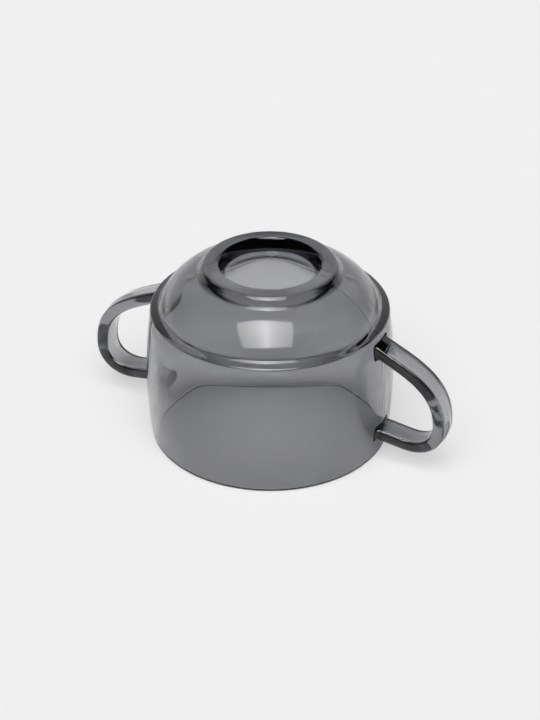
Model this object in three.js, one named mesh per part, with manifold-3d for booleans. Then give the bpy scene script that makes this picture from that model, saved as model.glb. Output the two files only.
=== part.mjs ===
// Two-handled soup mug of smoke-grey pressed glass, standing on its rim with the foot ring up.
// Millimetres, +Z up, origin on the table under the middle of the rim, +X through the right handle.

import * as THREE from 'three';
import { mergeVertices } from 'three/addons/utils/BufferGeometryUtils.js';
import Module from 'manifold-3d';

// Outside of the bowl, from the rim up
const overallHeight = 84;
const rimRadius = 53.4;
const lipRounding = 1.3;
const bellyRadius = 55;
const wallHeight = 61.3;
const shoulderRadius = 52.75;
const shoulderRounding = 1.1;
const shoulderRise = 1.3;
const ledgeWidth = 1.65;
const ledgeRise = 0.5;
const grooveWidth = 1.8;
const grooveRise = 1.7;
const domeBulge = 4.1;

// Thickness of the glass, and the crown of the cavity with its slope in degrees
const rimThickness = 4;
const bellyThickness = 5.4;
const shoulderThickness = 5.1;
const baseThickness = 3.1;
const cavityWallHeight = 47.1;
const cavityRoundUp = 12.2;
const crownRadius = 34.8;
const crownDrop = 6.7;
const crownSlope = 27;
const crownRoundOut = 3.4;
const cavityFloorRadius = 12;

// Foot ring, with the slope of its crest in degrees
const footHeight = 5.15;
const footFlareRadius = 33;
const footFlareRise = 1.55;
const footRadius = 31.15;
const footDraft = 1.78;
const footEdgeDrop = 0.55;
const footEdgeRounding = 1.3;
const crestSlope = 17.5;
const crestRadius = 23.65;
const crestWidth = 0.8;
const footLipWidth = 0.2;
const footLipDrop = 0.3;
const recessRadius = 19.9;

// Handles: a strap swept in the plane through the axis, its slopes in degrees
const handleReach = 86.4;
const handleWidth = 12.4;
const handleThickness = 5;
const handleRounding = 0.7;
const upperRootHeight = 55.2;
const upperSlope = 24;
const upperPull = 17;
const bendHeight = 24;
const bendPullUp = 18.5;
const bendPullDown = 9.6;
const lowerRootHeight = 13.3;
const lowerSlope = 8;
const lowerArmLength = 13;
const lowerPull = 8.2;

// Seam left between a handle and the wall that it is fused to
const weldGap = 0.3;

// Fineness of the facets
const roundSegments = 60;
const handleSteps = 34;
const sectionSteps = 2;

const baseHeight = overallHeight - footHeight;
const cavityHeight = baseHeight - baseThickness;

const point = (r, z) => new THREE.Vector2(r, z);
const along = (from, to) => to.clone().sub(from);
const sloping = (degrees) => point(1, 0).rotateAround(point(0, 0), THREE.MathUtils.degToRad(degrees));
const middle = (a, b) => a.clone().add(b).multiplyScalar(0.5);

// Corner where a line through a and a line through b cross
function crossing(a, aWay, b, bWay) {
  const t = along(a, b).cross(bWay) / aWay.cross(bWay);
  return a.clone().addScaledVector(aWay, t);
}

// Point beside the middle of a chord, to the right of the way from a to b
function beside(a, b, distance) {
  const chord = along(a, b);
  return middle(a, b).addScaledVector(point(chord.y, -chord.x).normalize(), distance);
}

// Rounded stretch of outline from one point to another, pulled towards a corner
function bend(from, corner, to, steps) {
  return new THREE.QuadraticBezierCurve(from, corner, to).getPoints(steps);
}

// Joins stretches of outline into one list without repeated points
function joinStretches(...stretches) {
  const list = [];
  for (const p of stretches.flat()) {
    const last = list[list.length - 1];
    if (!last || last.distanceTo(p) > 1e-6) list.push(p);
  }
  return list;
}

// Wall that swells from a low radius to the belly and back to a high radius
function barrelCurve(low, belly, high) {
  const control = point(2 * belly - (low.x + high.x) / 2, (low.y + high.y) / 2);
  return new THREE.QuadraticBezierCurve(low, control, high);
}

// Outer wall from the lip to the shoulder, grown outwards by a gap
function outerWall(grow) {
  const lipTop = point(rimRadius + grow, lipRounding);
  const wallTop = point(shoulderRadius + grow, wallHeight);
  return barrelCurve(lipTop, bellyRadius + grow, wallTop);
}

// Outer radius of the wall at a height
function wallRadiusAt(height) {
  const share = (height - lipRounding) / (wallHeight - lipRounding);
  return outerWall(0).getPoint(share).x;
}

// Shoulder, ledge and dome between the wall and the base, grown outwards by a gap
function upperForm(grow) {
  const wallTop = point(shoulderRadius + grow, wallHeight);
  const ledgeOuter = point(wallTop.x - shoulderRounding, wallTop.y + shoulderRise);
  const ledgeInner = point(ledgeOuter.x - ledgeWidth, ledgeOuter.y + ledgeRise);
  const domeFoot = point(ledgeInner.x - grooveWidth, ledgeInner.y + grooveRise);
  const baseEdge = point(footFlareRadius + grow, baseHeight);
  const domeCorner = beside(domeFoot, baseEdge, domeBulge);
  return { wallTop, ledgeOuter, ledgeInner, domeFoot, domeCorner, baseEdge };
}

// Outside of the bowl from the rim's flat up to the edge of its base, grown outwards by a gap
function bowlOutside(grow) {
  const { wallTop, ledgeOuter, ledgeInner, domeFoot, domeCorner, baseEdge } = upperForm(grow);
  const lipTop = point(rimRadius + grow, lipRounding);
  const ledgeWay = along(ledgeOuter, ledgeInner);
  const shoulderCorner = crossing(wallTop, point(0, 1), ledgeOuter, ledgeWay);
  const grooveCorner = crossing(domeFoot, along(domeFoot, domeCorner), ledgeInner, ledgeWay);
  return joinStretches(
    bend(point(lipTop.x - lipRounding, 0), point(lipTop.x, 0), lipTop, 3),
    outerWall(grow).getPoints(6),
    bend(wallTop, shoulderCorner, ledgeOuter, 4),
    bend(ledgeInner, grooveCorner, domeFoot, 3),
    bend(domeFoot, domeCorner, baseEdge, 6),
  );
}

// Inside of the bowl from the middle of the cavity's floor over its crown and wall to the rim's flat
function bowlInside() {
  const floorEdge = point(cavityFloorRadius, cavityHeight);
  const crown = point(crownRadius, cavityHeight - crownDrop);
  const wallTop = point(shoulderRadius - shoulderThickness, cavityWallHeight);
  const lipTop = point(rimRadius - rimThickness, lipRounding);
  const crownWay = sloping(-crownSlope);
  const crownCorner = crossing(floorEdge, point(1, 0), crown, crownWay);
  const wall = barrelCurve(wallTop, bellyRadius - bellyThickness, lipTop);
  const shoulder = new THREE.CubicBezierCurve(
    crown,
    crown.clone().addScaledVector(crownWay, crownRoundOut),
    wallTop.clone().addScaledVector(wall.getTangent(0), -cavityRoundUp),
    wallTop,
  );
  return joinStretches(
    [point(0, cavityHeight)],
    bend(floorEdge, crownCorner, crown, 4),
    shoulder.getPoints(7),
    wall.getPoints(6),
    bend(lipTop, point(lipTop.x, 0), point(lipTop.x + lipRounding, 0), 3),
  );
}

// Outline of the foot ring's section, starting and ending at the inner edge of its seat
function footOutline() {
  const { domeCorner, baseEdge } = upperForm(0);
  const seatInner = point(recessRadius, baseHeight);
  const flareTop = point(footRadius, baseHeight + footFlareRise);
  const edge = point(footRadius - footDraft, overallHeight - footEdgeDrop);
  const sideWay = along(flareTop, edge).normalize();
  const crestWay = sloping(-crestSlope).negate();
  const sideTop = edge.clone().addScaledVector(sideWay, -footEdgeRounding);
  const crestEdge = edge.clone().addScaledVector(crestWay, footEdgeRounding);
  const crestOuter = point(crestRadius, overallHeight);
  const crestInner = point(crestRadius - crestWidth, overallHeight);
  const lipEdge = point(crestInner.x - footLipWidth, overallHeight - footLipDrop);
  const flareCorner = crossing(baseEdge, along(domeCorner, baseEdge), flareTop, sideWay);
  const crestCorner = crossing(edge, crestWay, crestOuter, point(1, 0));
  const lipCorner = crossing(crestInner, point(1, 0), lipEdge, along(seatInner, lipEdge));
  return joinStretches(
    [seatInner],
    bend(baseEdge, flareCorner, flareTop, 3),
    bend(sideTop, edge, crestEdge, 4),
    bend(crestEdge, crestCorner, crestOuter, 3),
    bend(crestInner, lipCorner, lipEdge, 2),
    [seatInner],
  );
}

// Solid of revolution about Z
function turned(outline) {
  const geometry = new THREE.LatheGeometry(outline, roundSegments);
  geometry.rotateX(Math.PI / 2);
  return geometry;
}

// Section of the strap: a rectangle with rounded corners
function strapSection() {
  const across = handleWidth / 2 - handleRounding;
  const through = handleThickness / 2 - handleRounding;
  const section = new THREE.Shape();
  section.absarc(across, through, handleRounding, 0, Math.PI / 2);
  section.absarc(-across, through, handleRounding, Math.PI / 2, Math.PI);
  section.absarc(-across, -through, handleRounding, Math.PI, 1.5 * Math.PI);
  section.absarc(across, -through, handleRounding, 1.5 * Math.PI, 2 * Math.PI);
  section.closePath();
  return section;
}

// Middle line of the strap, from inside the wall under the shoulder to inside the wall over the rim
function strapPath() {
  const at = (r, z) => new THREE.Vector3(r, 0, z);
  const falling = (slope) => at(1, -Math.tan(THREE.MathUtils.degToRad(slope))).normalize();
  const upperWay = falling(upperSlope);
  const lowerWay = falling(lowerSlope);
  const upperRoot = at(wallRadiusAt(upperRootHeight), upperRootHeight);
  const lowerRoot = at(wallRadiusAt(lowerRootHeight), lowerRootHeight);
  const outermost = at(handleReach - handleThickness / 2, bendHeight);
  const lowerTurn = lowerRoot.clone().addScaledVector(lowerWay, lowerArmLength);
  const path = new THREE.CurvePath();
  path.add(new THREE.LineCurve3(upperRoot.clone().addScaledVector(upperWay, -rimThickness), upperRoot));
  path.add(new THREE.CubicBezierCurve3(
    upperRoot,
    upperRoot.clone().addScaledVector(upperWay, upperPull),
    outermost.clone().add(at(0, bendPullUp)),
    outermost,
  ));
  path.add(new THREE.CubicBezierCurve3(
    outermost,
    outermost.clone().add(at(0, -bendPullDown)),
    lowerTurn.clone().addScaledVector(lowerWay, lowerPull),
    lowerTurn,
  ));
  path.add(new THREE.LineCurve3(lowerTurn, lowerRoot.clone().addScaledVector(lowerWay, -rimThickness)));
  return path;
}

const wasm = await Module();
wasm.setup();

// Closed mesh as a solid that can be cut
function solidOf(geometry) {
  const bare = geometry.clone();
  bare.deleteAttribute('normal');
  bare.deleteAttribute('uv');
  const merged = mergeVertices(bare, 1e-5);
  const corners = merged.index.array;
  const kept = [];
  for (let i = 0; i < corners.length; i += 3) {
    const [a, b, c] = corners.slice(i, i + 3);
    if (a !== b && b !== c && c !== a) kept.push(a, b, c);
  }
  return new wasm.Manifold(new wasm.Mesh({
    numProp: 3,
    vertProperties: new Float32Array(merged.attributes.position.array),
    triVerts: new Uint32Array(kept),
  }));
}

// Cut solid back to a geometry for a mesh
function geometryOf(solid) {
  const { vertProperties, triVerts } = solid.getMesh();
  const geometry = new THREE.BufferGeometry();
  geometry.setAttribute('position', new THREE.BufferAttribute(new Float32Array(vertProperties), 3));
  geometry.setIndex(new THREE.BufferAttribute(new Uint32Array(triVerts), 1));
  geometry.computeVertexNormals();
  return geometry;
}

const axisFoot = point(0, 0);
const axisBase = point(0, baseHeight);

function bowlGeometry() {
  return turned(joinStretches(bowlInside(), bowlOutside(0), [axisBase]));
}

// Strap trimmed to the outside of the bowl, with the seam between them
function handleGeometry() {
  const strap = new THREE.ExtrudeGeometry(strapSection(), {
    steps: handleSteps,
    curveSegments: sectionSteps,
    extrudePath: strapPath(),
  });
  const bowlRoom = turned(joinStretches([axisFoot], bowlOutside(weldGap), [axisBase]));
  return geometryOf(solidOf(strap).subtract(solidOf(bowlRoom)));
}

// Mesh of one piece in its own smoke-grey glass
function piece(name, geometry) {
  const glass = new THREE.MeshStandardMaterial({
    color: 0x6f7073,
    roughness: 0.06,
    metalness: 0,
    transparent: true,
    opacity: 0.65,
  });
  const mesh = new THREE.Mesh(geometry, glass);
  mesh.name = name;
  return mesh;
}

const handleRight = piece('handle_right', handleGeometry());
const handleLeft = piece('handle_left', handleGeometry());
handleLeft.rotation.z = Math.PI;

const mug = new THREE.Group();
mug.add(piece('bowl', bowlGeometry()));
mug.add(piece('foot_ring', turned(footOutline())));
mug.add(handleRight, handleLeft);

export default mug;
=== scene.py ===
import math
from bisect import bisect_right

import bmesh
import bpy
from mathutils import Matrix, Vector
from mathutils.geometry import interpolate_bezier


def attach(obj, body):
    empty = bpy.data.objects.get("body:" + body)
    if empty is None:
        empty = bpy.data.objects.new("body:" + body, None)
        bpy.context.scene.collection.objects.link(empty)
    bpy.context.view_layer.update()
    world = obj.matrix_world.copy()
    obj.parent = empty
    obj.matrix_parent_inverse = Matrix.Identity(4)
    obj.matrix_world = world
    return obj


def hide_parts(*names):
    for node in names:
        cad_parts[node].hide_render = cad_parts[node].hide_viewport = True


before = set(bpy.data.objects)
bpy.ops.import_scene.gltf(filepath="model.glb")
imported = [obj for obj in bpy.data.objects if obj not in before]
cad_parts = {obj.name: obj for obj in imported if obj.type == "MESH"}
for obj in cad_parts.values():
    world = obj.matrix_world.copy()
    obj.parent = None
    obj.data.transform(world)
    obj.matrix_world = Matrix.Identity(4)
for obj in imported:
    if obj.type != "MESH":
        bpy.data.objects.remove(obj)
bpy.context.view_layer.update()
scene = bpy.context.scene

# Outside of the bowl from the rim up, in millimetres, the same sizes as its solid has
OVERALL_HEIGHT = 84.0
RIM_RADIUS = 53.4
LIP_ROUNDING = 1.3
BELLY_RADIUS = 55.0
WALL_HEIGHT = 61.3
SHOULDER_RADIUS = 52.75
SHOULDER_ROUNDING = 1.1
SHOULDER_RISE = 1.3
LEDGE_WIDTH = 1.65
LEDGE_RISE = 0.5
GROOVE_WIDTH = 1.8
GROOVE_RISE = 1.7
DOME_BULGE = 4.1

# Thickness of the glass, and the crown of the cavity with its slope in degrees
RIM_THICKNESS = 4.0
BELLY_THICKNESS = 5.4
SHOULDER_THICKNESS = 5.1
BASE_THICKNESS = 3.1
CAVITY_WALL_HEIGHT = 47.1
CAVITY_ROUND_UP = 12.2
CROWN_RADIUS = 34.8
CROWN_DROP = 6.7
CROWN_SLOPE = 27.0
CROWN_ROUND_OUT = 3.4
CAVITY_FLOOR_RADIUS = 12.0

# Foot ring, with the slope of its crest in degrees
FOOT_HEIGHT = 5.15
FOOT_FLARE_RADIUS = 33.0
FOOT_FLARE_RISE = 1.55
FOOT_RADIUS = 31.15
FOOT_DRAFT = 1.78
FOOT_EDGE_DROP = 0.55
FOOT_EDGE_ROUNDING = 1.3
CREST_SLOPE = 17.5
CREST_RADIUS = 23.5
CREST_WIDTH = 0.6
FOOT_LIP_WIDTH = 0.9
FOOT_LIP_DROP = 1.0
RECESS_RADIUS = 19.75

# Section of a handle's strap: its faces rise by the crown, and its sides swell by the bulge
HANDLE_WIDTH = 12.4
HANDLE_THICKNESS = 5.2
HANDLE_CROWN = 0.6
HANDLE_BULGE = 0.8
HANDLE_ROUNDING = 0.7

# Way of a handle's strap, with its slopes in degrees
HANDLE_REACH = 86.4
UPPER_ROOT_HEIGHT = 55.2
UPPER_SLOPE = 24.0
UPPER_PULL = 17.0
BEND_HEIGHT = 24.0
BEND_PULL_UP = 18.5
BEND_PULL_DOWN = 9.6
LOWER_ROOT_HEIGHT = 13.3
LOWER_SLOPE = 8.0
LOWER_ARM_LENGTH = 13.0
LOWER_PULL = 8.2
ROOT_FILLET = 1.2
ROOT_BLEND = 14.0

# Weld at a handle's root: depth in the wall, leeway about that depth, and gap to the fillet's edge
WELD_DEPTH = 0.25
WELD_LEEWAY = 0.12
WELD_INSET = 0.15

# Raised line that the two halves of the mould leave, in the plane of the handles
SEAM_HEIGHT = 0.05
SEAM_HALF_ANGLE = math.radians(0.5)
SEAM_LEAST_FACING = 0.2

# Fineness of the meshes
SEAM_STEPS = 6
HALF_TURN_STEPS = 118
STRAP_CORNER_STEPS = 8
STRAP_FACE_CUTS = 9
STRAP_SIDE_CUTS = 7
STRAP_STEPS = 96
FILLET_STEPS = 9
SEAT_SHARES = (0.25, 0.5, 0.75, 0.92, 1.0)
WAY_NEIGHBOURS = 2
ROOT_SEARCH = 8.0
ROOT_HALVINGS = 40
SAME_POINT = 1e-5
MERGE_DISTANCE = 1e-4
SHARP_EDGE = math.radians(35)

BASE_HEIGHT = OVERALL_HEIGHT - FOOT_HEIGHT
CAVITY_HEIGHT = BASE_HEIGHT - BASE_THICKNESS
MM = 0.001

# Smoke glass: how it bends light, its tint, its density per metre, and the waves of its surface
GLASS_IOR = 1.52
FUSED_IOR = 1.001
GLASS_TINT = (0.395, 0.403, 0.432, 1)
CLEAR = (1, 1, 1, 1)
BOWL_DENSITY = 135
# The handles are of the same glass as the bowl; their higher density is painted shade that darkens
# them
HANDLE_DENSITY = 160
BOWL_WAVES = 0.05
HANDLE_WAVES = 0.015
WAVE_HEIGHT = 1 * MM


def spot(r, z):
    return Vector((r, z))


def falling_way(slope):
    """Way outwards and down at a slope in degrees."""
    angle = math.radians(slope)
    return spot(math.cos(angle), -math.sin(angle))


def crossing(a, a_way, b, b_way):
    """Corner where a line through a and a line through b cross."""
    return a + a_way * ((b - a).cross(b_way) / a_way.cross(b_way))


def beside(a, b, distance):
    """Point beside the middle of a chord, to the right of the way from a to b."""
    chord = b - a
    return (a + b) / 2 + spot(chord.y, -chord.x).normalized() * distance


def straight(a, b, steps):
    return [a.lerp(b, i / steps) for i in range(steps + 1)]


def curve(start, start_pull, end_pull, end, steps):
    """Round stretch that leaves start towards one pull and comes to end from another."""
    return interpolate_bezier(start, start_pull, end_pull, end, steps + 1)


def bend(start, corner, end, steps):
    """Round stretch from start to end, pulled towards a corner."""
    return curve(start, start.lerp(corner, 2 / 3), end.lerp(corner, 2 / 3), end, steps)


def barrel_pull(low, belly, high):
    """Radius that a barrel's wall is pulled to, so that its middle reaches the belly."""
    return 2 * belly - (low + high) / 2


def barrel(low, belly, high, steps):
    """Wall that swells from a low radius to the belly and back to a high radius."""
    corner = spot(barrel_pull(low.x, belly, high.x), (low.y + high.y) / 2)
    return bend(low, corner, high, steps)


def joined(*stretches):
    """One outline without repeated points."""
    outline = []
    for stretch in stretches:
        for p in stretch:
            if not outline or (outline[-1] - p).length > SAME_POINT:
                outline.append(p)
    return outline


WALL_TOP = spot(SHOULDER_RADIUS, WALL_HEIGHT)
LEDGE_OUTER = WALL_TOP + spot(-SHOULDER_ROUNDING, SHOULDER_RISE)
LEDGE_INNER = LEDGE_OUTER + spot(-LEDGE_WIDTH, LEDGE_RISE)
DOME_FOOT = LEDGE_INNER + spot(-GROOVE_WIDTH, GROOVE_RISE)
BASE_EDGE = spot(FOOT_FLARE_RADIUS, BASE_HEIGHT)
DOME_CORNER = beside(DOME_FOOT, BASE_EDGE, DOME_BULGE)


def bowl_outside():
    """From the rim's flat over the wall, shoulder, ledge, groove and dome to the base."""
    rim_flat = spot(RIM_RADIUS - LIP_ROUNDING, 0)
    lip_top = spot(RIM_RADIUS, LIP_ROUNDING)
    ledge_way = LEDGE_INNER - LEDGE_OUTER
    shoulder_corner = crossing(WALL_TOP, spot(0, 1), LEDGE_OUTER, ledge_way)
    groove_corner = crossing(DOME_FOOT, DOME_CORNER - DOME_FOOT, LEDGE_INNER, ledge_way)
    return joined(
        bend(rim_flat, spot(RIM_RADIUS, 0), lip_top, steps=8),
        barrel(lip_top, BELLY_RADIUS, WALL_TOP, steps=40),
        bend(WALL_TOP, shoulder_corner, LEDGE_OUTER, steps=12),
        straight(LEDGE_OUTER, LEDGE_INNER, steps=4),
        bend(LEDGE_INNER, groove_corner, DOME_FOOT, steps=10),
        bend(DOME_FOOT, DOME_CORNER, BASE_EDGE, steps=32),
    )


def bowl_inside():
    """From the middle of the cavity's floor over its crown and wall to the rim's flat."""
    floor_edge = spot(CAVITY_FLOOR_RADIUS, CAVITY_HEIGHT)
    crown = spot(CROWN_RADIUS, CAVITY_HEIGHT - CROWN_DROP)
    crown_way = falling_way(CROWN_SLOPE)
    crown_corner = crossing(floor_edge, spot(1, 0), crown, crown_way)
    wall_top = spot(SHOULDER_RADIUS - SHOULDER_THICKNESS, CAVITY_WALL_HEIGHT)
    lip_top = spot(RIM_RADIUS - RIM_THICKNESS, LIP_ROUNDING)
    lip_end = lip_top + spot(LIP_ROUNDING, -LIP_ROUNDING)
    wall = barrel(wall_top, BELLY_RADIUS - BELLY_THICKNESS, lip_top, steps=30)
    crown_pull = crown + crown_way * CROWN_ROUND_OUT
    wall_pull = wall_top + (wall[0] - wall[1]).normalized() * CAVITY_ROUND_UP
    return joined(
        straight(spot(0, CAVITY_HEIGHT), floor_edge, steps=5),
        bend(floor_edge, crown_corner, crown, steps=20),
        curve(crown, crown_pull, wall_pull, wall_top, steps=26),
        wall,
        bend(lip_top, spot(lip_top.x, 0), lip_end, steps=8),
    )


def foot_ring():
    """From the edge of the base over the foot ring to the middle of its recess."""
    seat_inner = spot(RECESS_RADIUS, BASE_HEIGHT)
    flare_top = spot(FOOT_RADIUS, BASE_HEIGHT + FOOT_FLARE_RISE)
    edge = spot(FOOT_RADIUS - FOOT_DRAFT, OVERALL_HEIGHT - FOOT_EDGE_DROP)
    side_way = (edge - flare_top).normalized()
    crest_way = -falling_way(CREST_SLOPE)
    side_top = edge - side_way * FOOT_EDGE_ROUNDING
    crest_edge = edge + crest_way * FOOT_EDGE_ROUNDING
    crest_outer = spot(CREST_RADIUS, OVERALL_HEIGHT)
    crest_inner = crest_outer - spot(CREST_WIDTH, 0)
    lip_edge = crest_inner - spot(FOOT_LIP_WIDTH, FOOT_LIP_DROP)
    flare_corner = crossing(BASE_EDGE, BASE_EDGE - DOME_CORNER, flare_top, side_way)
    crest_corner = crossing(edge, crest_way, crest_outer, spot(1, 0))
    lip_corner = crossing(crest_inner, spot(1, 0), lip_edge, lip_edge - seat_inner)
    return joined(
        bend(BASE_EDGE, flare_corner, flare_top, steps=14),
        straight(flare_top, side_top, steps=4),
        bend(side_top, edge, crest_edge, steps=12),
        bend(crest_edge, crest_corner, crest_outer, steps=10),
        straight(crest_outer, crest_inner, steps=3),
        bend(crest_inner, lip_corner, lip_edge, steps=8),
        straight(lip_edge, seat_inner, steps=8),
        straight(seat_inner, spot(0, BASE_HEIGHT), steps=5),
    )


OUTSIDE = bowl_outside()
OUTSIDE_HEIGHTS = [p.y for p in OUTSIDE]


def outer_radius(height):
    """Radius of the bowl's outside at a height."""
    i = min(max(bisect_right(OUTSIDE_HEIGHTS, height), 1), len(OUTSIDE) - 1)
    a, b = OUTSIDE[i - 1], OUTSIDE[i]
    return a.x + (b.x - a.x) * (height - a.y) / (b.y - a.y)


def turned(outline):
    """Closed shell turned about Z, with narrow columns of faces at the two mould seams."""
    bm = bmesh.new()
    tip = bm.verts.new((outline[0].x, 0, outline[0].y))
    for p in outline[1:]:
        tip = bmesh.ops.extrude_vert_indiv(bm, verts=[tip])["verts"][0]
        tip.co = (p.x, 0, p.y)
    start = Matrix.Rotation(-SEAM_HALF_ANGLE, 3, "Z")
    bmesh.ops.rotate(bm, verts=bm.verts, cent=(0, 0, 0), matrix=start)
    seam_turn = 2 * SEAM_HALF_ANGLE
    turning = bm.verts[:] + bm.edges[:]
    for angle, steps in ((seam_turn, SEAM_STEPS), (math.pi - seam_turn, HALF_TURN_STEPS)) * 2:
        turning = bmesh.ops.spin(
            bm, geom=turning, cent=(0, 0, 0), axis=(0, 0, 1), dvec=(0, 0, 0),
            angle=angle, steps=steps,
        )["geom_last"]
    bmesh.ops.remove_doubles(bm, verts=bm.verts, dist=MERGE_DISTANCE)
    bmesh.ops.recalc_face_normals(bm, faces=bm.faces)
    return bm


def raise_mould_seam(bm, lowest):
    """Lifts the outside a little along the two seams, above a height and outside the recess."""
    bm.normal_update()
    lifts = []
    for v in bm.verts:
        out = Vector((v.co.x, v.co.y, 0))
        facing_out = v.normal.dot(out.normalized()) + v.normal.z > SEAM_LEAST_FACING
        if v.co.z < lowest or out.length < CREST_RADIUS - CREST_WIDTH or not facing_out:
            continue
        share = abs(math.atan2(v.co.y, abs(v.co.x))) / SEAM_HALF_ANGLE
        if share < 1:
            lifts.append((v, v.normal * SEAM_HEIGHT * (0.5 + 0.5 * math.cos(math.pi * share))))
    for v, lift in lifts:
        v.co += lift


class StrapWay:
    """Middle line of a handle's strap, measured along from its upper root to its lower root."""

    def __init__(self):
        upper_root = spot(outer_radius(UPPER_ROOT_HEIGHT), UPPER_ROOT_HEIGHT)
        lower_root = spot(outer_radius(LOWER_ROOT_HEIGHT), LOWER_ROOT_HEIGHT)
        outermost = spot(HANDLE_REACH - HANDLE_THICKNESS / 2 - HANDLE_CROWN, BEND_HEIGHT)
        lower_way = falling_way(LOWER_SLOPE)
        lower_turn = lower_root + lower_way * LOWER_ARM_LENGTH
        upper_pull = upper_root + falling_way(UPPER_SLOPE) * UPPER_PULL
        lower_pull = lower_turn + lower_way * LOWER_PULL
        above, below = outermost + spot(0, BEND_PULL_UP), outermost - spot(0, BEND_PULL_DOWN)
        self.points = joined(
            curve(upper_root, upper_pull, above, outermost, steps=239),
            curve(outermost, below, lower_pull, lower_turn, steps=159),
            straight(lower_turn, lower_root, steps=60),
        )
        self.reached = [0.0]
        for a, b in zip(self.points, self.points[1:]):
            self.reached.append(self.reached[-1] + (b - a).length)
        self.length = self.reached[-1]

    def at(self, s):
        """Point of the line and its two cross directions, also a little past the ends."""
        last = len(self.points) - 1
        i = min(max(bisect_right(self.reached, s), 1), last)
        a, b = self.points[i - 1], self.points[i]
        span = self.reached[i] - self.reached[i - 1]
        middle = a + (b - a) * ((s - self.reached[i - 1]) / span)
        before = self.points[max(i - 1 - WAY_NEIGHBOURS, 0)]
        after = self.points[min(i + WAY_NEIGHBOURS, last)]
        way = (after - before).normalized()
        return Vector((middle.x, 0, middle.y)), Vector((0, 1, 0)), Vector((-way.y, 0, way.x))


STRAP = StrapWay()


def strap_point(section, s):
    """Place of a point of the strap's section, at a distance along the strap."""
    middle, across, through = STRAP.at(s)
    return middle + across * section.x + through * section.y


def root_place(section, near_start, depth):
    """How far along the strap a point of its section meets the wall, at a depth in the glass."""
    root, outward = (0.0, ROOT_SEARCH) if near_start else (STRAP.length, -ROOT_SEARCH)
    outer, inner = root + outward, root - outward
    for _ in range(ROOT_HALVINGS):
        middle = (outer + inner) / 2
        p = strap_point(section, middle)
        if math.hypot(p.x, p.y) > outer_radius(p.z) - depth:
            outer = middle
        else:
            inner = middle
    return middle


def strap_section():
    """Face in the shape of the strap's section, with round corners."""
    bm = bmesh.new()
    bmesh.ops.create_grid(bm, x_segments=1, y_segments=1, size=0.5)
    bmesh.ops.scale(bm, vec=(HANDLE_WIDTH, HANDLE_THICKNESS, 1), verts=bm.verts)
    bmesh.ops.bevel(
        bm, geom=bm.verts[:], offset=HANDLE_ROUNDING, offset_type="OFFSET", affect="VERTICES",
        segments=STRAP_CORNER_STEPS, profile=0.5, material=-1,
    )
    bmesh.ops.delete(bm, geom=bm.faces[:], context="FACES_ONLY")
    faces = (HANDLE_WIDTH / 2, STRAP_FACE_CUTS)
    sides = (HANDLE_THICKNESS / 3, STRAP_SIDE_CUTS)
    for least, cuts in (faces, sides):
        long_edges = [e for e in bm.edges if e.calc_length() > least]
        bmesh.ops.subdivide_edges(bm, edges=long_edges, cuts=cuts)
    for v in bm.verts:
        drawn_in = HANDLE_BULGE * (v.co.y / (HANDLE_THICKNESS / 2)) ** 2
        rise = HANDLE_CROWN * (1 - abs(v.co.x) / (HANDLE_WIDTH / 2))
        v.co.x *= 1 - drawn_in / (HANDLE_WIDTH / 2)
        v.co.y *= 1 + rise / (HANDLE_THICKNESS / 2)
    bmesh.ops.contextual_create(bm, geom=bm.edges[:])
    return bm


def smooth_fall(share):
    """Falls smoothly from one to nothing as share goes from 0 to 1."""
    share = min(max(share, 0), 1)
    return 1 - share * share * (3 - 2 * share)


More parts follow.
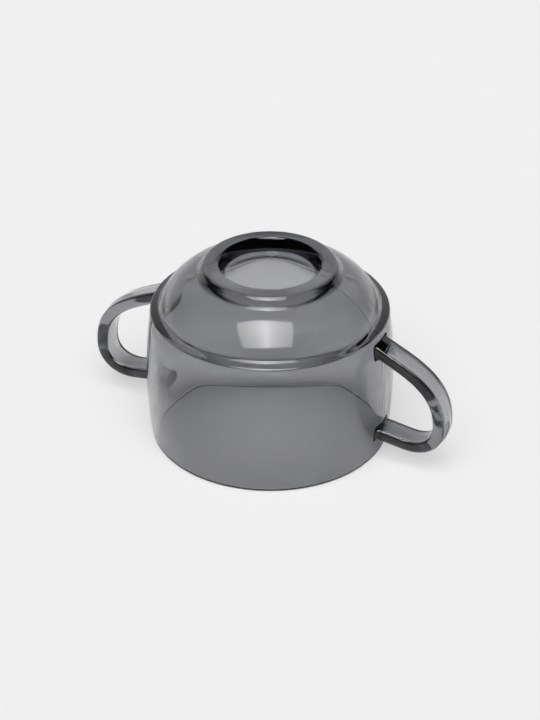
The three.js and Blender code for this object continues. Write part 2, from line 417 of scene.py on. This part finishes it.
def handle(turn):
    """Strap of pressed glass with a filleted root at each end, turned about Z."""
    bm = strap_section()
    ring = list(bm.faces[:][0].verts)
    plain = [spot(v.co.x, v.co.y) for v in ring]
    core = spot(HANDLE_WIDTH / 2 - HANDLE_ROUNDING, HANDLE_THICKNESS / 2 - HANDLE_ROUNDING)
    outward = []
    for p in plain:
        nearest = spot(min(max(p.x, -core.x), core.x), min(max(p.y, -core.y), core.y))
        outward.append((p - nearest).normalized())
    flared = [p + way * ROOT_FILLET for p, way in zip(plain, outward)]
    first = [root_place(p, True, 0) for p in flared]
    last = [root_place(p, False, 0) for p in flared]

    def grow(edges, ring, places):
        """Extrudes the open edge of the strap and puts its new points in their places."""
        made = bmesh.ops.extrude_edge_only(bm, edges=edges)["geom"]
        fresh = {g for g in made if isinstance(g, bmesh.types.BMVert)}
        new_edges = [
            g for g in made
            if isinstance(g, bmesh.types.BMEdge) and g.verts[0] in fresh and g.verts[1] in fresh
        ]
        new_ring = []
        for v, place in zip(ring, places):
            partner = next(e.other_vert(v) for e in v.link_edges if e.other_vert(v) in fresh)
            partner.co = place
            new_ring.append(partner)
        return new_edges, new_ring

    def seat(share, near_start):
        """Points of the end that lies against the glass of the wall, drawn in to a share."""
        drawn = [p * share for p in flared]
        return [strap_point(p, root_place(p, near_start, WELD_DEPTH)) for p in drawn]

    def station(s, lift):
        """Points of the section at a distance along the strap, lifted by the root's fillet."""
        from_start = smooth_fall(s / ROOT_BLEND)
        from_end = smooth_fall((STRAP.length - s) / ROOT_BLEND)
        points = []
        for p, way, a, b in zip(plain, outward, first, last):
            along = s + a * from_start + (b - STRAP.length) * from_end
            points.append(strap_point(p + way * lift, along))
        return points

    for v, place in zip(ring, seat(SEAT_SHARES[0], True)):
        v.co = place
    edges = bm.edges[:]
    for share in SEAT_SHARES[1:]:
        edges, ring = grow(edges, ring, seat(share, True))
    fillet = []
    for i in range(FILLET_STEPS + 1):
        t = math.pi / 2 * i / FILLET_STEPS
        fillet.append((ROOT_FILLET * (1 - math.cos(t)), ROOT_FILLET * (1 - math.sin(t))))
    for s, lift in fillet:
        edges, ring = grow(edges, ring, station(s, lift))
    run = STRAP.length - 2 * ROOT_FILLET
    for i in range(1, STRAP_STEPS):
        edges, ring = grow(edges, ring, station(ROOT_FILLET + run * i / STRAP_STEPS, 0))
    for s, lift in reversed(fillet):
        edges, ring = grow(edges, ring, station(STRAP.length - s, lift))
    for share in reversed(SEAT_SHARES):
        edges, ring = grow(edges, ring, seat(share, False))
    bmesh.ops.contextual_create(bm, geom=edges)
    bmesh.ops.rotate(bm, verts=bm.verts, cent=(0, 0, 0), matrix=Matrix.Rotation(turn, 3, "Z"))
    bmesh.ops.recalc_face_normals(bm, faces=bm.faces)
    return bm


def new_object(name, bm, material):
    mesh = bpy.data.meshes.new(name)
    bm.to_mesh(mesh)
    bm.free()
    mesh.materials.append(material)
    made = bpy.data.objects.new(name, mesh)
    scene.collection.objects.link(made)
    return made


def glass_piece(name, bm, glass, *nodes):
    """Makes a piece of the mug from a mesh in millimetres, in the place of its solids."""
    bmesh.ops.scale(bm, vec=(MM, MM, MM), verts=bm.verts)
    for face in bm.faces:
        face.smooth = True
    for edge in bm.edges:
        edge.smooth = edge.calc_face_angle(0) < SHARP_EDGE
    piece = new_object(name, bm, glass)
    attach(piece, "root")
    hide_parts(*nodes)


def feed(tree, node, inputs):
    """Sets inputs of a node to plain values, or links them to other sockets."""
    for name, value in inputs.items():
        if isinstance(value, bpy.types.NodeSocket):
            tree.links.new(value, node.inputs[name])
        else:
            node.inputs[name].default_value = value


def new_node(tree, kind, inputs):
    node = tree.nodes.new(kind)
    feed(tree, node, inputs)
    return node


def math_node(tree, operation, *values):
    node = new_node(tree, "ShaderNodeMath", dict(enumerate(values)))
    node.operation = operation
    return node.outputs["Value"]


def mix_values(tree, share, a, b):
    """Goes from one value to another as share goes from 0 to 1."""
    return new_node(tree, "ShaderNodeMix", {"Factor": share, "A": a, "B": b}).outputs["Result"]


def ramp(tree, value, low, high, at_low, at_high):
    """Smooth change from one number to another as a value goes from low to high."""
    node = new_node(tree, "ShaderNodeMapRange", {
        "Value": value, "From Min": low, "From Max": high, "To Min": at_low, "To Max": at_high,
    })
    node.interpolation_type = "SMOOTHSTEP"
    return node.outputs["Result"]


def along_way(tree, vector, way):
    """Share of a vector that points along a fixed way."""
    node = new_node(tree, "ShaderNodeVectorMath", {0: vector, 1: way})
    node.operation = "DOT_PRODUCT"
    return node.outputs["Value"]


def new_material(name):
    """Material with an empty node tree."""
    material = bpy.data.materials.new(name)
    material.use_nodes = True
    material.node_tree.nodes.clear()
    return material, material.node_tree


def new_socket(group, name, in_out, kind, value=None):
    socket = group.interface.new_socket(name, in_out=in_out, socket_type=kind)
    if value is not None:
        socket.default_value = value


def pressed_surface_group():
    """Slow waves that the mould leaves in pressed glass, and the faint smears of handling."""
    group = bpy.data.node_groups.new("pressed_surface", "ShaderNodeTree")
    new_socket(group, "Vector", "INPUT", "NodeSocketVector")
    new_socket(group, "Wave Scale", "INPUT", "NodeSocketFloat", 60.0)
    new_socket(group, "Smear Scale", "INPUT", "NodeSocketFloat", 90.0)
    new_socket(group, "Height", "OUTPUT", "NodeSocketFloat")
    new_socket(group, "Roughness", "OUTPUT", "NodeSocketFloat")
    given = group.nodes.new("NodeGroupInput").outputs
    wave = new_node(group, "ShaderNodeTexNoise", {
        "Vector": given["Vector"], "Scale": given["Wave Scale"], "Detail": 1.0, "Roughness": 0.4,
    })
    smear = new_node(group, "ShaderNodeTexNoise", {
        "Vector": given["Vector"], "Scale": given["Smear Scale"], "Detail": 6.0,
        "Roughness": 0.65, "Distortion": 0.6,
    })
    spread = new_node(group, "ShaderNodeMapRange", {
        "Value": smear.outputs["Fac"], "From Min": 0.52, "From Max": 0.78,
        "To Min": 0.0, "To Max": 0.05,
    })
    new_node(group, "NodeGroupOutput", {
        "Height": wave.outputs["Fac"], "Roughness": spread.outputs["Result"],
    })
    return group


PRESSED_SURFACE = pressed_surface_group()


def weld_mask(tree, place):
    """One where a handle's root is fused to the wall, and nothing elsewhere."""

    def run(operation, *values):
        return math_node(tree, operation, *values)

    def distance(a, b):
        return run("SQRT", run("ADD", run("MULTIPLY", a, a), run("MULTIPLY", b, b)))

    def past(value, limit):
        """How far a length goes past a limit in millimetres."""
        return run("MAXIMUM", run("SUBTRACT", value, limit * MM), 0.0)

    x, y, z = new_node(tree, "ShaderNodeSeparateXYZ", {"Vector": place}).outputs
    pull = barrel_pull(RIM_RADIUS, BELLY_RADIUS, SHOULDER_RADIUS)
    wall_run = (WALL_HEIGHT - LIP_ROUNDING) * MM
    share = run("DIVIDE", run("SUBTRACT", z, LIP_ROUNDING * MM), wall_run)
    curving = run("MULTIPLY", share, (RIM_RADIUS - 2 * pull + SHOULDER_RADIUS) * MM)
    swelling = run("ADD", curving, 2 * (pull - RIM_RADIUS) * MM)
    wall = run("ADD", run("MULTIPLY", swelling, share), RIM_RADIUS * MM)
    depth = run("SUBTRACT", wall, distance(x, y))
    at_wall = run("COMPARE", depth, WELD_DEPTH / 2 * MM, (WELD_DEPTH / 2 + WELD_LEEWAY) * MM)
    aside = past(run("ABSOLUTE", y), HANDLE_WIDTH / 2 - HANDLE_ROUNDING)
    reach = (HANDLE_ROUNDING + ROOT_FILLET - WELD_INSET) * MM
    roots = []
    for height, slope in ((UPPER_ROOT_HEIGHT, UPPER_SLOPE), (LOWER_ROOT_HEIGHT, LOWER_SLOPE)):
        off_level = run("ABSOLUTE", run("SUBTRACT", z, height * MM))
        off_strap = run("MULTIPLY", off_level, math.cos(math.radians(slope)))
        over = past(off_strap, HANDLE_THICKNESS / 2 - HANDLE_ROUNDING)
        roots.append(run("LESS_THAN", distance(aside, over), reach))
    return run("MULTIPLY", at_wall, run("MAXIMUM", *roots))


def smoke_glass(name, density, waves):
    """Neutral grey glass that darkens with the thickness that light passes.

    Where a handle is fused to the wall it hardly bends light, as in one casting.
    """
    material, tree = new_material(name)
    place = tree.nodes.new("ShaderNodeTexCoord").outputs["Object"]
    surface = tree.nodes.new("ShaderNodeGroup")
    surface.node_tree = PRESSED_SURFACE
    feed(tree, surface, {"Vector": place})
    bump = new_node(tree, "ShaderNodeBump", {
        "Strength": waves, "Distance": WAVE_HEIGHT, "Height": surface.outputs["Height"],
    })
    glass = new_node(tree, "ShaderNodeBsdfPrincipled", {
        "Base Color": CLEAR,
        "Roughness": surface.outputs["Roughness"],
        "IOR": mix_values(tree, weld_mask(tree, place), GLASS_IOR, FUSED_IOR),
        "Normal": bump.outputs["Normal"],
        "Transmission Weight": 1.0,
    })
    smoke = new_node(tree, "ShaderNodeVolumeAbsorption", {"Color": GLASS_TINT, "Density": density})
    new_node(tree, "ShaderNodeOutputMaterial", {
        "Surface": glass.outputs["BSDF"], "Volume": smoke.outputs["Volume"],
    })
    return material


BOWL_GLASS = smoke_glass("smoke_glass", BOWL_DENSITY, BOWL_WAVES)
# Denser copy of the bowl's glass for the handles: painted shade that darkens them
HANDLE_GLASS = smoke_glass("smoke_glass_of_handles", HANDLE_DENSITY, HANDLE_WAVES)

# The bowl and its foot ring are one casting, so light passes between them without a step
bowl = turned(joined(bowl_inside(), OUTSIDE, foot_ring()))
raise_mould_seam(bowl, LIP_ROUNDING)
glass_piece("bowl_and_foot_glass", bowl, BOWL_GLASS, "bowl", "foot_ring")
glass_piece("handle_right_glass", handle(0), HANDLE_GLASS, "handle_right")
glass_piece("handle_left_glass", handle(math.pi), HANDLE_GLASS, "handle_left")

# Camera of the photograph, looking down at the mug on its rim, in metres
CAMERA_TURN = math.radians(25.7)
CAMERA_TILT = math.radians(32.45)
CAMERA_DISTANCE = 1.003
CAMERA_TARGET = Vector((0, 0, 0.0339))
CAMERA_LENS = 100
CAMERA_SENSOR = 32
CAMERA_NEAREST = 0.01
CAMERA_AWAY = Vector((-math.sin(CAMERA_TURN), math.cos(CAMERA_TURN), 0))
CAMERA_SIDE = Vector((math.cos(CAMERA_TURN), math.sin(CAMERA_TURN), 0))


def photograph_camera():
    back = Vector((0, 0, math.sin(CAMERA_TILT))) - CAMERA_AWAY * math.cos(CAMERA_TILT)
    data = bpy.data.cameras.new("camera")
    data.lens = CAMERA_LENS
    data.sensor_width = CAMERA_SENSOR
    data.clip_start = CAMERA_NEAREST
    camera = bpy.data.objects.new("camera", data)
    camera.location = CAMERA_TARGET + back * CAMERA_DISTANCE
    camera.rotation_euler = (-back).to_track_quat("-Z", "Y").to_euler()
    scene.collection.objects.link(camera)
    scene.camera = camera


# Pale floor and the light on it, in metres and in levels where 1 is white
PALE = 0.863
FLOOR_COLOUR = 0.90
FLOOR_HALF_WIDTH = 30
FLOOR_DROP = 0.0001
FILL_LIGHT = 0.18
SHADOW_LIGHTENING = 0.54

# Dark room that only glass sees: from where to where its edges fade, as shares of a direction
ROOM_DARK = 0.03
HORIZON_FADE = math.sin(math.radians(1)), math.sin(math.radians(7))
BACKDROP = 0.7
BACKDROP_TOP_FADE = math.sin(math.radians(40)), math.sin(math.radians(50))
BACKDROP_SIDE_FADE = 0.52, 0.72

# Softbox over the camera, its place and the light that it casts
SOFTBOX_ASIDE = -0.056
SOFTBOX_NEARER = 0.459
SOFTBOX_UP = 0.886
SOFTBOX_DISTANCE = 1.2
SOFTBOX_SIZE = 1.34
SOFTBOX_HALF_ANGLE = math.radians(27)
SOFTBOX_BLUR = math.radians(5)
SOFTBOX_WAY = (
    CAMERA_SIDE * SOFTBOX_ASIDE - CAMERA_AWAY * SOFTBOX_NEARER + Vector((0, 0, SOFTBOX_UP))
).normalized()
SOFTBOX_SHARE = math.sin(SOFTBOX_HALF_ANGLE) ** 2 * SOFTBOX_WAY.z
SOFTBOX_LIGHT = (PALE / FLOOR_COLOUR - FILL_LIGHT) / SOFTBOX_SHARE

# Softbox as the glass mirrors it, with a bright core, a bowed top, slanting sides and soft edges
SOFTBOX_RIM = 3.2
SOFTBOX_CORE = 7.5
SOFTBOX_CORE_WIDTH = 0.22
SOFTBOX_SIDE_FADE = 0.42, 0.49
SOFTBOX_LOW_FADE = -0.59, -0.47
SOFTBOX_TOP_FADE = 0.50, 0.65
SOFTBOX_SLANT = 0.1
SOFTBOX_BOW = 0.75


def studio_world():
    """Light of the softbox and the room, and the dark room that glass sees above the floor."""
    world = bpy.data.worlds.new("studio")
    world.use_nodes = True
    tree = world.node_tree
    tree.nodes.clear()
    path = tree.nodes.new("ShaderNodeLightPath").outputs
    way = tree.nodes.new("ShaderNodeTexCoord").outputs["Generated"]
    light = ramp(
        tree, along_way(tree, way, SOFTBOX_WAY),
        math.cos(SOFTBOX_HALF_ANGLE + SOFTBOX_BLUR), math.cos(SOFTBOX_HALF_ANGLE - SOFTBOX_BLUR),
        FILL_LIGHT, FILL_LIGHT + SOFTBOX_LIGHT,
    )
    upward = along_way(tree, way, (0, 0, 1))
    low = ramp(tree, upward, *HORIZON_FADE, PALE, ROOM_DARK)
    behind = ramp(tree, along_way(tree, way, CAMERA_AWAY), *BACKDROP_SIDE_FADE, 0, 1)
    backdrop = ramp(tree, upward, *BACKDROP_TOP_FADE, BACKDROP, ROOM_DARK)
    room = math_node(tree, "MAXIMUM", low, math_node(tree, "MULTIPLY", behind, backdrop))
    glass_ray = math_node(tree, "MAXIMUM", path["Is Glossy Ray"], path["Is Transmission Ray"])
    no_floor_yet = math_node(tree, "LESS_THAN", path["Diffuse Depth"], 0.5)
    sees_room = math_node(tree, "MULTIPLY", glass_ray, no_floor_yet)
    level = mix_values(tree, sees_room, light, room)
    level = mix_values(tree, path["Is Camera Ray"], level, PALE)
    background = new_node(tree, "ShaderNodeBackground", {"Color": level})
    new_node(tree, "ShaderNodeOutputWorld", {"Surface": background.outputs["Background"]})
    scene.world = world


def stage_piece(name, bm, material):
    piece = new_object(name, bm, material)
    return piece


def pale_floor():
    """White sheet that carries the mug and its shadow; to the camera it partly glows, a painted
    light that pales the shadow.
    """
    material, tree = new_material("pale_floor")
    matt = new_node(tree, "ShaderNodeBsdfDiffuse", {
        "Color": (FLOOR_COLOUR, FLOOR_COLOUR, FLOOR_COLOUR, 1),
    })
    # Even glow that only the camera sees on the floor: painted light that pales the shadow
    glow = new_node(tree, "ShaderNodeEmission", {"Color": (PALE, PALE, PALE, 1)})
    camera_ray = tree.nodes.new("ShaderNodeLightPath").outputs["Is Camera Ray"]
    seen = new_node(tree, "ShaderNodeMixShader", {
        0: math_node(tree, "MULTIPLY", camera_ray, SHADOW_LIGHTENING),
        1: matt.outputs["BSDF"],
        2: glow.outputs["Emission"],
    })
    new_node(tree, "ShaderNodeOutputMaterial", {"Surface": seen.outputs["Shader"]})
    bm = bmesh.new()
    bmesh.ops.create_grid(bm, x_segments=1, y_segments=1, size=FLOOR_HALF_WIDTH)
    bmesh.ops.translate(bm, vec=(0, 0, -FLOOR_DROP), verts=bm.verts)
    stage_piece("floor", bm, material)


def softbox():
    """Panel over the camera, which shows only as a reflection on the glass."""
    up = (CAMERA_AWAY - SOFTBOX_WAY * CAMERA_AWAY.dot(SOFTBOX_WAY)).normalized()
    side = up.cross(SOFTBOX_WAY)
    material, tree = new_material("softbox")

    def run(operation, *values):
        return math_node(tree, operation, *values)

    place = tree.nodes.new("ShaderNodeTexCoord").outputs["Object"]
    height = along_way(tree, place, up)
    across = run("ABSOLUTE", along_way(tree, place, side))
    fall = run("EXPONENT", run("MULTIPLY", across, -1 / SOFTBOX_CORE_WIDTH))
    level = run("ADD", run("MULTIPLY", fall, SOFTBOX_CORE), SOFTBOX_RIM)
    slanted = run("ADD", across, run("MULTIPLY", height, SOFTBOX_SLANT))
    bowed = run("ADD", height, run("MULTIPLY", run("MULTIPLY", across, across), SOFTBOX_BOW))
    for edge in (
        ramp(tree, slanted, *SOFTBOX_SIDE_FADE, 1, 0),
        ramp(tree, height, *SOFTBOX_LOW_FADE, 0, 1),
        ramp(tree, bowed, *SOFTBOX_TOP_FADE, 1, 0),
    ):
        level = run("MULTIPLY", level, edge)
    glow = new_node(tree, "ShaderNodeEmission", {"Strength": level})
    new_node(tree, "ShaderNodeOutputMaterial", {"Surface": glow.outputs["Emission"]})
    bm = bmesh.new()
    bmesh.ops.create_grid(bm, x_segments=1, y_segments=1, size=SOFTBOX_SIZE / 2)
    turn = Matrix((side, up, SOFTBOX_WAY)).transposed().to_4x4()
    to_place = Matrix.Translation(SOFTBOX_WAY * SOFTBOX_DISTANCE) @ turn
    bmesh.ops.transform(bm, matrix=to_place, verts=bm.verts)
    panel = stage_piece("softbox", bm, material)
    panel.visible_camera = False
    panel.visible_diffuse = False
    panel.visible_transmission = False
    panel.visible_shadow = False


photograph_camera()
studio_world()
pale_floor()
softbox()

# Light paths long enough to cross the walls, the ring and the handles
LIGHT_BOUNCES = 24
MIRROR_BOUNCES = 12
scene.view_settings.view_transform = "Standard"
scene.cycles.max_bounces = LIGHT_BOUNCES
scene.cycles.transmission_bounces = LIGHT_BOUNCES
scene.cycles.glossy_bounces = MIRROR_BOUNCES
